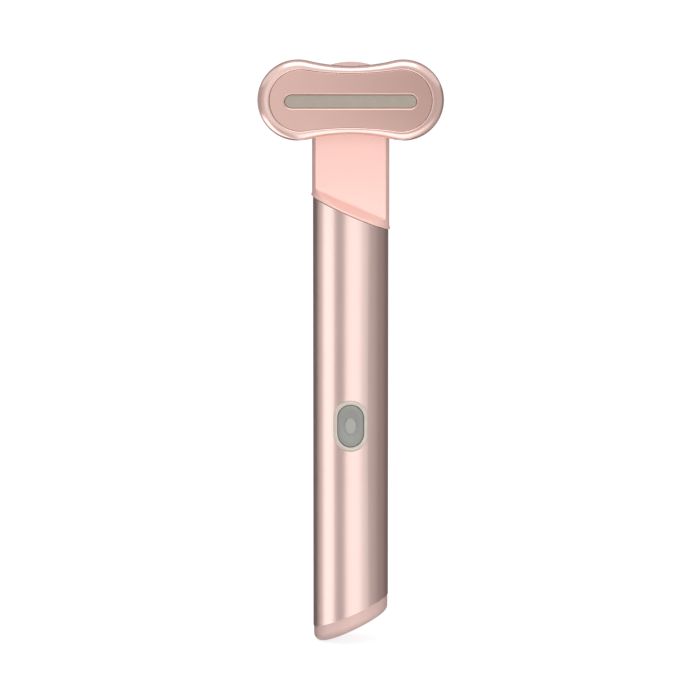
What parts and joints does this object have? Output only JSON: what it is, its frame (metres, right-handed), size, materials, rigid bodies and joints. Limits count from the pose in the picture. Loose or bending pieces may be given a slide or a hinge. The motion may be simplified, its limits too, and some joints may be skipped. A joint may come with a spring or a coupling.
{
  "type": "heated eye massager wand",
  "caption": "Slim warm vibrating eye massager wand with a swivelling bone-shaped head, a light window and one push button.",
  "frame": {"origin": "on the handle's axis, level with the middle of the push button", "axes": "+Z along the handle towards the head, -Y to the front where the button and the treatment face are, +X to the wand's right"},
  "size_m": [0.0502, 0.0239, 0.1601],
  "materials": {
    "rose_anodised": "fine bead-blasted and anodised, rose gold",
    "satin_rose_plate": "satin brushed and anodised, rose gold",
    "polished_rose": "vacuum-plated, polished, rose gold",
    "pink_moulding": "soft-gloss moulded, pale pink",
    "translucent_rose": "translucent, fine satin",
    "light_guide": "translucent, frosted",
    "grey_green_silicone": "soft touch, slightly translucent",
    "diffuser": "frosted, warm grey",
    "chassis_abs": "as moulded, natural white",
    "board_green": "solder-masked glass fibre board",
    "chip_black": "moulded black",
    "emitter": "clear lens over phosphor",
    "black_rubber": "moulded",
    "steel": "bright zinc or nickel plate",
    "cell_wrap": "shrink-wrapped",
    "foam": "closed-cell foam",
    "heater_amber": "polyimide film",
    "wire_red": "silicone-insulated wire",
    "brass": "turned"
  },
  "bodies": {
    "handle": {"handle_tube": "rose_anodised", "end_cap": "translucent_rose", "cap_seal": "black_rubber", "usb_shell": "steel", "usb_tongue": "chip_black", "port_gasket": "black_rubber", "main_board": "board_green", "board_chips": "chip_black", "board_screws": "steel", "indicator_leds": "emitter", "switch_body": "chip_black", "button_bezel": "light_guide", "inner_chassis": "chassis_abs", "battery_cell": "cell_wrap", "battery_pad": "foam", "battery_leads": "wire_red", "motor_can": "steel", "motor_mounts": "black_rubber", "motor_clamp": "chassis_abs", "clamp_screws": "steel", "motor_leads": "wire_red", "neck_housing": "pink_moulding", "neck_seal": "black_rubber", "neck_rear_cover": "pink_moulding", "neck_connector": "chassis_abs", "neck_wires": "wire_red"},
    "head": {"swivel_spindle": "steel", "flange_screws": "steel", "wave_washer": "steel", "retaining_ring": "steel", "head_rim": "polished_rose", "head_back_cover": "polished_rose", "contact_plate": "satin_rose_plate", "light_window": "diffuser", "heater_film": "heater_amber", "insulation_pad": "foam", "thermistor": "chip_black", "led_board": "board_green", "leds": "emitter", "led_board_screws": "steel", "head_wires": "wire_red"},
    "button": {"button_cap": "grey_green_silicone", "switch_plunger": "chassis_abs"},
    "motor_rotor": {"motor_shaft": "steel", "eccentric_weight": "brass"}
  },
  "joints": [
    {"name": "head_swivel", "type": "hinge", "parent": "handle", "child": "head", "pos_m": [0, 0, 0.089], "axis": [0, 1, 0], "range_deg": [-90, 90]},
    {"name": "button_press", "type": "slide", "parent": "handle", "child": "button", "axis": [0, 1, 0], "range_m": [0, 0.0004], "stiffness_N_per_m": 4000, "springref_m": -0.0002},
    {"name": "motor_spin", "type": "hinge", "parent": "handle", "child": "motor_rotor", "pos_m": [0, 0.0015, 0.0385], "axis": [0, 0, 1], "continuous": true}
  ]
}
